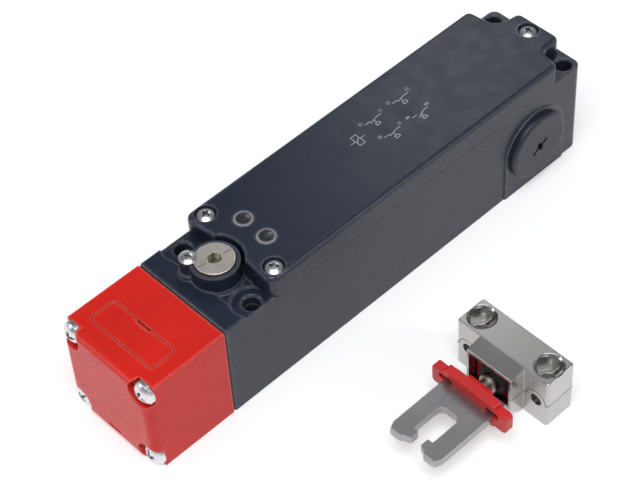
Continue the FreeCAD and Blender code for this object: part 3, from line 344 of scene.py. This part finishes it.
# In these looks the paler edges are painted highlights, and the darkened hollows are painted shade.
looks = {
    "print_grey": moulded("print_grey", (0.5, 0.51, 0.53), 0.5),
    "seam_red": moulded("seam_red", (0.16, 0.004, 0.004), 0.5),
    "seam_black": moulded("seam_black", (0.004, 0.005, 0.008), 0.5),
    "body_plastic": moulded("body_plastic", BODY, 0.28, edge_highlight=(0.15, 0.16, 0.19), edge=0.0004,
                            specular=0.38, highlight_radius=0.0011),
    "plug_plastic": moulded("plug_plastic", (0.01, 0.016, 0.029), 0.42, grain=1100.0,
                            edge_highlight=(0.07, 0.076, 0.09), shade_reach=0.002),
    "red_plastic": moulded("red_plastic", RED, 0.3, edge_highlight=(0.95, 0.17, 0.14), edge=0.0004,
                           specular=0.27, highlight_radius=0.0009),
    "dark_red_plastic": moulded("dark_red_plastic", (0.55, 0.013, 0.02), 0.4),
    "flange_red": moulded("flange_red", (0.62, 0.014, 0.014), 0.38),
    "inner_plastic": moulded("inner_plastic", (0.3, 0.3, 0.28), 0.5),
    "clear_lens": lens_look(),
    "led_epoxy": moulded("led_epoxy", (0.72, 0.7, 0.5), 0.25, grain=900.0),
    "board_green": board_look(),
    "black_rubber": rubber_look(),
    "plated_screw": metal("plated_screw", (0.74, 0.74, 0.76), 0.27, 900.0, 0.000008, shade_reach=0.0013),
    "nickel_brass": metal("nickel_brass", (0.76, 0.715, 0.64), 0.36, 1500.0, 0.00003, spots=0.5,
                          shade_reach=0.003),
    "nickel_die_cast": metal("nickel_die_cast", (0.5, 0.49, 0.475), 0.25, 2600.0, 0.000003,
                             edge=0.0003, cloud=0.03),
    "stainless": metal("stainless", (0.37, 0.362, 0.37), 0.36, 2600.0, 0.00001, spots=0.25, highlight_gain=2.0),
    "steel_pin": metal("steel_pin", (0.55, 0.54, 0.53), 0.25),
    "spring_steel": metal("spring_steel", (0.45, 0.45, 0.46), 0.3, 900.0, 0.00002),
    "sintered_steel": metal("sintered_steel", (0.33, 0.32, 0.31), 0.45, 1600.0, 0.00005, spots=0.6),
    "plated_sheet": metal("plated_sheet", (0.62, 0.62, 0.6), 0.32, 400.0, 0.00003),
    "brass_contact": metal("brass_contact", (0.72, 0.52, 0.24), 0.28, 800.0, 0.00002),
    "coil_winding": winding_look(),
}

SLOT_NODES = {
    "body_plastic": ["housing", "cover"],
    "plug_plastic": ["conduit_plugs"],
    "red_plastic": ["head_housing", "end_slot_plug", "top_slot_plug"],
    "dark_red_plastic": ["joint_carrier"],
    "flange_red": ["tongue_flange"],
    "inner_plastic": ["contact_block", "rod_guide", "push_rod"],
    "clear_lens": ["led_lenses"],
    "led_epoxy": ["leds"],
    "board_green": ["led_board"],
    "black_rubber": ["cover_gasket", "head_gasket", "conduit_seals", "release_o_ring", "joint_bellows"],
    "plated_screw": ["cover_screws", "head_screws", "release_retaining_screw", "terminal_screws",
                     "earth_screw", "adjusting_screws"],
    "nickel_brass": ["release_spindle", "stem_ring"],
    "nickel_die_cast": ["actuator_base_lower", "actuator_base_upper"],
    "stainless": ["tongue"],
    "steel_pin": ["rotor_axle", "lock_bolt", "solenoid_core"],
    "spring_steel": ["rod_spring", "core_spring", "release_clip"],
    "sintered_steel": ["tongue_rotor", "release_cam"],
    "plated_sheet": ["solenoid_frame", "terminal_clamps"],
    "brass_contact": ["contact_bridges", "fixed_contacts"],
    "coil_winding": ["solenoid_coil"],
}


def coated(name, mesh, look_name):
    """A new object of one material."""
    mesh.materials.append(looks[look_name])
    return linked(name, mesh)


def dress_nodes():
    """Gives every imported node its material, and stops where one has none."""
    dressed = set()
    for slot, names in SLOT_NODES.items():
        for name in names:
            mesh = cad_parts[name].data
            mesh.materials.clear()
            mesh.materials.append(looks[slot])
            dressed.add(name)
    bare = set(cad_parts) - dressed
    if bare:
        raise ValueError("no material for " + ", ".join(sorted(bare)))


# ---- Screws ----
HEAD_FRONT = -118.15
HEAD_SEAT = -114.8
HEAD_SUNK = 0.05
COVER_SEAT = 44.1
RETAINING_HEAD = 1.5

# Where each screw stands, and the turn of its recess in degrees: (y, z, turn) and (x, y, turn).
HEAD_SCREW_SPOTS = [(-16.4, 4.3, 20), (-16.4, 34.9, 75), (16.4, 4.3, 140), (16.4, 34.9, 100)]
COVER_SCREW_SPOTS = [(-61.2, 15.6, 12), (-61.2, -15.6, 40), (69.6, -1.5, 5)]
RETAINING_TURN = 30

# A pan head: the steps round it and up its dome, and the angle in degrees that stays smooth.
TURNED_STEPS = 56
DOME_STEPS = 8
SMOOTH_ANGLE = 38

# Its side and the floors of its recess and slot, as shares of its height.
SIDE_SHARE = 0.42
RECESS_FLOOR_SHARE = 0.35
SLOT_FLOOR_SHARE = 0.5

# The recess's width as a share of its length, and a cutter's foot as a share of its top.
RECESS_WIDTH_SHARE = 0.3
CUTTER_FOOT_SHARE = 0.45

# Lengths in millimetres: the chamfer under the head, the slot, and how far a cutter stands above.
UNDER_EDGE = 0.15
SLOT_WIDTH = 0.75
CUTTER_ABOVE = 0.4


def turned(profile):
    """A closed mesh turned about Z from (radius, height) points in millimetres."""
    shape = bmesh.new()
    rings = []
    for radius, height in profile:
        if radius == 0:
            rings.append([shape.verts.new((0, 0, height * MM))] * TURNED_STEPS)
            continue
        angles = [2 * math.pi * step / TURNED_STEPS for step in range(TURNED_STEPS)]
        ring = [(radius * MM * math.cos(a), radius * MM * math.sin(a), height * MM) for a in angles]
        rings.append([shape.verts.new(point) for point in ring])
    for low, high in zip(rings, rings[1:]):
        for step in range(TURNED_STEPS):
            after = (step + 1) % TURNED_STEPS
            corners = [low[step], low[after], high[after], high[step]]
            shape.faces.new(list(dict.fromkeys(corners)))
    return mesh_of("turned", shape)


def wedge(length, width, low, high, turn):
    """A bar with tapered ends and sides, the shape that a driver's blade leaves."""
    points = []
    for z, share in ((low, CUTTER_FOOT_SHARE), (high, 1.0)):
        for x, y in ((-1, -1), (1, -1), (1, 1), (-1, 1)):
            points.append((x * length * share * MM / 2, y * width * share ** 0.5 * MM / 2, z * MM))
    faces = [(3, 2, 1, 0), (4, 5, 6, 7), (0, 1, 5, 4), (1, 2, 6, 5), (2, 3, 7, 6), (3, 0, 4, 7)]
    mesh = bpy.data.meshes.new("wedge")
    mesh.from_pydata(points, [], faces)
    mesh.transform(Matrix.Rotation(math.radians(turn), 4, "Z"))
    return mesh


def evaluated(piece):
    """The mesh that an object's modifiers or curve leave."""
    graph = bpy.context.evaluated_depsgraph_get()
    return bpy.data.meshes.new_from_object(piece.evaluated_get(graph))


def carved(body, cutters):
    """The body mesh less the cutters."""
    piece = linked("piece", body)
    tools = []
    for cutter in cutters:
        tool = linked("tool", cutter)
        change = piece.modifiers.new("cut", "BOOLEAN")
        change.object = tool
        change.solver = "EXACT"
        tools.append(tool)
    mesh = evaluated(piece)
    for spent in [piece] + tools:
        bpy.data.objects.remove(spent)
    return mesh


def pan_screw(radius, height, shank_radius, shank, recess, slot=None):
    """A pan head seated on the origin with its shank below: a low side, then a dome."""
    side = SIDE_SHARE * height
    rise = height - side
    dome = (radius ** 2 + rise ** 2) / (2 * rise)
    profile = [(0, -shank), (shank_radius, -shank), (shank_radius, 0)]
    profile += [(radius - UNDER_EDGE, 0), (radius, UNDER_EDGE), (radius, side)]
    for step in range(1, DOME_STEPS):
        along = radius * (1 - step / DOME_STEPS)
        profile.append((along, height - dome + math.sqrt(dome ** 2 - along ** 2)))
    profile.append((0, height))
    above = height + CUTTER_ABOVE
    deep = height * RECESS_FLOOR_SHARE
    cutters = [wedge(recess, recess * RECESS_WIDTH_SHARE, deep, above, turn) for turn in (0, 90)]
    if slot:
        cutters.append(wedge(slot, SLOT_WIDTH, height * SLOT_FLOOR_SHARE, above, 0))
    return carved(turned(profile), cutters)


def gathered(name, master, places, look_name):
    """One object of several copies of a mesh, in place in the row frame."""
    copies = []
    for place in places:
        copy = master.copy()
        copy.transform(place)
        copies.append(copy)
    mesh = joined(name, copies)
    mesh.shade_smooth()
    mesh.set_sharp_from_angle(angle=math.radians(SMOOTH_ANGLE))
    return coated(name, mesh, look_name)


def standing(x, y, z, turn):
    """Upright at a point in millimetres, turned about Z."""
    return Matrix.Translation((x * MM, y * MM, z * MM)) @ Matrix.Rotation(math.radians(turn), 4, "Z")


def facing_front(y, z, turn):
    """On its seat in the head, with the top towards -X, turned about its own axis."""
    facing = Matrix.Rotation(math.radians(-90), 4, "Y")
    spin = Matrix.Rotation(math.radians(turn), 4, "Z")
    return Matrix.Translation((HEAD_SEAT * MM, y * MM, z * MM)) @ facing @ spin


def make_screws():
    """The visible screws with crisp recesses; each shank is as deep as that of the node it stands for."""
    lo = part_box("cover_screws")[0]
    master = pan_screw(radius=3.3, height=2.1, shank_radius=1.5, shank=COVER_SEAT - lo.z / MM, recess=3.9)
    places = [standing(x, y, COVER_SEAT, turn) for x, y, turn in COVER_SCREW_SPOTS]
    cover = gathered("cover_screws_dressed", master, places, "plated_screw")
    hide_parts("cover_screws")
    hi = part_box("head_screws")[1]
    master = pan_screw(radius=4.2, height=HEAD_SEAT - HEAD_FRONT - HEAD_SUNK, shank_radius=1.9,
                       shank=hi.x / MM - HEAD_SEAT, recess=4.4, slot=7.2)
    places = [facing_front(y, z, turn) for y, z, turn in HEAD_SCREW_SPOTS]
    head = gathered("head_screws_dressed", master, places, "plated_screw")
    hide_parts("head_screws")
    lo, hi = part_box("release_retaining_screw")
    middle = (lo + hi) / 2
    seat = hi.z / MM - RETAINING_HEAD
    master = pan_screw(radius=2.9, height=RETAINING_HEAD, shank_radius=1.25, shank=seat - lo.z / MM,
                       recess=3.3)
    places = [standing(middle.x / MM, middle.y / MM, seat, RETAINING_TURN)]
    release = gathered("release_retaining_screw_dressed", master, places, "plated_screw")
    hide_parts("release_retaining_screw")
    for piece in (cover, head, release):
        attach(piece, "switch")


def make_core_spring():
    """The spring on a piece of its own, attached to the switch, with a mesh of its own."""
    spring = linked("core_spring_dressed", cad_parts["core_spring"].data.copy())
    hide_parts("core_spring")
    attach(spring, "switch")
    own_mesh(spring)


# ---- Fine lines ----
LIFT = 0.02
MITRE_LEAST = 0.5
CORNER_STEPS = 5


def ribbon(shape, points, normal, width):
    """A flat line along points in millimetres, lifted off the plane that normal leaves."""
    normal = Vector(normal)
    points = [Vector(point) for point in points]
    edge = []
    for index, point in enumerate(points):
        before = points[max(index - 1, 0)]
        after = points[min(index + 1, len(points) - 1)]
        first = (point - before).normalized() if before != point else (after - point).normalized()
        second = (after - point).normalized() if after != point else first
        along = (first + second).normalized()
        side = normal.cross(along) * (width / 2) / max(along.dot(first), MITRE_LEAST)
        raised = point + normal * LIFT
        edge.append([shape.verts.new((raised + sign * side) * MM) for sign in (1, -1)])
    for one, two in zip(edge, edge[1:]):
        shape.faces.new((one[0], one[1], two[1], two[0]))


def rounded_frame(u0, u1, v0, v1, corner):
    """A rounded rectangle in a plane, from its first corner back to it."""
    centres = [(u1 - corner, v0 + corner, -90), (u1 - corner, v1 - corner, 0),
               (u0 + corner, v1 - corner, 90), (u0 + corner, v0 + corner, 180)]
    points = []
    for u, v, start in centres:
        for step in range(CORNER_STEPS + 1):
            angle = math.radians(start + 90 * step / CORNER_STEPS)
            points.append((u + corner * math.cos(angle), v + corner * math.sin(angle)))
    return points + points[:1]


def drawn(name, lines, look_name, body, width):
    """An object of ribbons; each line is (points, normal)."""
    shape = bmesh.new()
    for points, normal in lines:
        ribbon(shape, points, normal, width)
    piece = coated(name, mesh_of(name, shape), look_name)
    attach(piece, body)


# ---- Seams: where two pieces meet in the same surface ----
HEAD_TOP = 39.0
TOP_PLUG_X = (-110.48, -100.72)
END_PLUG_Z = (3.47, 13.93)
END_LINE_ABOVE = 8.2
PLUG_HALF = 14.23
PLUG_CORNER = 1.45
PLUG_LINE = 0.3

RIM_X = (-66.0, 36.0)
RIM_Y = 20.0
RIM_Z = 37.35
RIM_LINE = 0.42

# The actuator's parting line, measured from ACT_PLACE: the foot of the face that has the front holes,
# midway between them.
ACT_PLACE = Vector((-22.7, -75.05, 0.0))
PART_Z = 9.3
HOLE_Y = 14.2
ARCH_RADIUS = 4.0
ARCH_STEPS = 12
BLOCK_SIDE = 19.0
BLOCK_SIDE_X = (0.3, 11.7)
NOSE_FOOT = 9.3
NOSE_SIDE = 9.2
NOSE_X = (-5.6, 0.0)
PART_LINE = 0.22


def plug_seams():
    """Round the two plugs of the head; only the upper half of the end plug's line is drawn."""
    top = [(x, y, HEAD_TOP) for x, y in rounded_frame(*TOP_PLUG_X, -PLUG_HALF, PLUG_HALF, PLUG_CORNER)]
    outline = rounded_frame(-PLUG_HALF, PLUG_HALF, *END_PLUG_Z, PLUG_CORNER)
    front = [(HEAD_FRONT, y, z) for y, z in outline if z > END_LINE_ABOVE]
    drawn("plug_seams", [(top, (0, 0, 1)), (front, (-1, 0, 0))], "seam_red", "switch", PLUG_LINE)


def rim_seams():
    """Under the cover, along both sides of the housing."""
    lines = [([(x, side * RIM_Y, RIM_Z) for x in RIM_X], (0, side, 0)) for side in (-1, 1)]
    drawn("rim_seams", lines, "seam_black", "switch", RIM_LINE)


def block_seams():
    """Where the two halves of the actuator's block meet, arched over the front holes."""
    lines = []
    for side in (-1, 1):
        arch = []
        for step in range(ARCH_STEPS + 1):
            angle = math.pi * step / ARCH_STEPS
            across = side * (HOLE_Y + ARCH_RADIUS * math.cos(angle))
            arch.append((0.0, across, PART_Z + ARCH_RADIUS * math.sin(angle)))
        wing = [(0.0, side * BLOCK_SIDE, PART_Z)] + arch + [(0.0, side * NOSE_FOOT, PART_Z)]
        lines.append((wing, (-1, 0, 0)))
        lines.append(([(x, side * BLOCK_SIDE, PART_Z) for x in BLOCK_SIDE_X], (0, side, 0)))
        lines.append(([(x, side * NOSE_SIDE, PART_Z) for x in NOSE_X], (0, side, 0)))
    placed = [([Vector(point) + ACT_PLACE for point in points], normal) for points, normal in lines]
    drawn("block_seams", placed, "seam_black", "actuator", PART_LINE)


# ---- Printed symbols: contacts and a coil, with plain numbers ----
COVER_TOP = 46.0
COIL_PLACE = (-6.1, 3.5)
CONTACTS = [(3.9, 6.6, 1, True), (4.1, -2.0, 3, True), (16.9, 7.1, 2, True), (16.5, -2.3, 4, False)]
FIGURE_SIZE = 1.7
FIGURE_OUT = 4.4
FIGURE_UP = 1.3
PRINT_LINE = 0.24


def turned_about(lines, x, y):
    """Symbol lines, drawn about their own middle, placed on the cover to read towards -X."""
    return [([(x - u, y - v, COVER_TOP) for u, v in line], (0, 0, 1)) for line in lines]


def contact_symbol(closed):
    """Two leads and a blade, which touches the far lead where the contact is closed."""
    tip = 0.75 if closed else 1.5
    lines = [[(-3.6, 0), (-1.5, 0)], [(-1.5, 0), (1.7, tip)], [(1.5, 0), (3.6, 0)]]
    if closed:
        lines.append([(1.5, 0), (1.5, 0.95)])
    lines += [[(0.1, 0.75), (0.1, 1.9)], [(-0.7, 1.9), (0.9, 1.9), (0.9, 3.0), (-0.7, 3.0), (-0.7, 1.9)]]
    return lines


def coil_symbol():
    """A box with a line across it, on two leads."""
    box = [(-1.1, -2.3), (1.1, -2.3), (1.1, 2.3), (-1.1, 2.3), (-1.1, -2.3)]
    return [box, [(-1.1, -1.0), (1.1, 1.0)], [(-3.0, 0), (-1.1, 0)], [(1.1, 0), (3.0, 0)]]


def number(text, x, y):
    """A flat mesh of plain figures on the cover."""
    curve = bpy.data.curves.new("figures", "FONT")
    curve.body = text
    curve.size = FIGURE_SIZE * MM
    curve.align_x = "CENTER"
    curve.align_y = "CENTER"
    holder = linked("figures", curve)
    mesh = evaluated(holder)
    bpy.data.objects.remove(holder)
    mesh.transform(standing(x, y, COVER_TOP + LIFT, 180))
    return mesh


def make_print():
    """A coil and four contacts; a number's first figure is the contact's, its second the lead's."""
    lines = turned_about(coil_symbol(), *COIL_PLACE)
    figures = []
    for x, y, row, closed in CONTACTS:
        lines += turned_about(contact_symbol(closed), x, y)
        ends = ("1", "2") if closed else ("3", "4")
        for side, end in zip((-1, 1), ends):
            figures.append(number(str(row) + end, x - side * FIGURE_OUT, y + FIGURE_UP))
    drawn("symbols", lines, "print_grey", "switch", PRINT_LINE)
    numbers = coated("numbers", joined("numbers", figures), "print_grey")
    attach(numbers, "switch")


# ---- The stage ----
FLOOR_GAP = 0.00002
FLOOR_REACH = 3.0
FLOOR_LIFT = 0.39
HORIZON_TOP = 0.6
HORIZON_SOFT = 0.12
SKY_LOW = (0.3, 0.305, 0.315, 1.0)
SKY_HIGH = (0.14, 0.148, 0.165, 1.0)
CLIP_START = 0.01

# Each lamp: name, place, the point it looks at, width and height, and power in watts.
LAMPS = [
    ("overhead", (-0.35, -0.3, 1.25), (0.0, 0.0, 0.0), (1.0, 0.9), 11.9),
    ("far_panel", (0.3, 0.25, 0.38), (0.1, 0.01, 0.04), (0.14, 0.14), 0.13),
    ("block_panel", (0.2, 0.17, 0.41), (-0.02, -0.075, 0.02), (0.2, 0.2), 0.055),
    ("side_strip", (0.53, -0.9, 0.6), (0.0, 0.0, 0.03), (0.15, 0.6), 1.5),
    ("front_strip", (-0.98, 0.6, 0.53), (-0.06, 0.0, 0.03), (0.15, 0.6), 1.9),
]


def floor_material():
    """A plain pale floor. It keeps the shadow, and is lifted to white where a ray sees it directly."""
    look = Look("floor", 0.9)
    soft = look.spread(look.noise(6.0, 2.0), 0.3, 0.7, 0.0, 1.0)
    look.paint(look.blend(soft, (0.80, 0.80, 0.80), (0.82, 0.82, 0.82)))
    look.shader.inputs["Specular IOR Level"].default_value = 0.0
    path = look.node("ShaderNodeLightPath")
    seen = look.maths("MAXIMUM", path.outputs["Is Camera Ray"], path.outputs["Is Glossy Ray"])
    seen = look.maths("MAXIMUM", seen, path.outputs["Is Transmission Ray"])
    lift = look.node("ShaderNodeEmission")
    look.link(look.times(seen, FLOOR_LIFT), lift.inputs["Strength"])
    total = look.node("ShaderNodeAddShader")
    look.link(look.shader.outputs[0], total.inputs[0])
    look.link(lift.outputs[0], total.inputs[1])
    look.link(total.outputs[0], look.tree.nodes["Material Output"].inputs["Surface"])
    return look.material


def make_floor():
    z = cad_box[0].z - FLOOR_GAP
    reach = FLOOR_REACH
    mesh = bpy.data.meshes.new("floor")
    corners = [(-reach, -reach, z), (reach, -reach, z), (reach, reach, z), (-reach, reach, z)]
    mesh.from_pydata(corners, [], [(0, 1, 2, 3)])
    mesh.materials.append(floor_material())
    floor = linked("floor", mesh)


def make_world():
    """A studio sky: pale up to HORIZON_TOP, the sine of the height, and dim above it."""
    world = bpy.data.worlds.new("studio")
    bpy.context.scene.world = world
    world.use_nodes = True
    tree = world.node_tree
    direction = tree.nodes.new("ShaderNodeTexCoord").outputs["Generated"]
    parts = tree.nodes.new("ShaderNodeSeparateXYZ")
    tree.links.new(direction, parts.inputs[0])
    height = tree.nodes.new("ShaderNodeMapRange")
    height.inputs["From Min"].default_value = HORIZON_TOP - HORIZON_SOFT
    height.inputs["From Max"].default_value = HORIZON_TOP
    tree.links.new(parts.outputs["Z"], height.inputs["Value"])
    sky = tree.nodes.new("ShaderNodeMix")
    sky.data_type = "RGBA"
    sky.inputs[6].default_value = SKY_LOW
    sky.inputs[7].default_value = SKY_HIGH
    tree.links.new(height.outputs["Result"], sky.inputs[0])
    tree.links.new(sky.outputs[2], tree.nodes["Background"].inputs["Color"])


def make_lights():
    for name, place, target, size, power in LAMPS:
        light = bpy.data.lights.new(name, "AREA")
        light.shape = "RECTANGLE"
        light.size, light.size_y = size
        light.energy = power
        lamp = linked(name, light)
        lamp.location = place
        lamp.rotation_euler = (Vector(target) - Vector(place)).to_track_quat("-Z", "Y").to_euler()


def make_camera():
    data = bpy.data.cameras.new("camera")
    data.lens = CAMERA_LENS
    data.sensor_width = SENSOR_WIDTH
    data.clip_start = CLIP_START
    camera = linked("camera", data)
    columns = Matrix((CAMERA_RIGHT, CAMERA_UP, CAMERA_BACK)).transposed()
    camera.matrix_world = Matrix.Translation(CAMERA_PLACE) @ columns.to_4x4()
    bpy.context.scene.camera = camera


dress_nodes()
make_screws()
make_core_spring()
plug_seams()
rim_seams()
block_seams()
make_print()
make_floor()
make_world()
make_lights()
make_camera()
bpy.context.scene.view_settings.view_transform = "Standard"
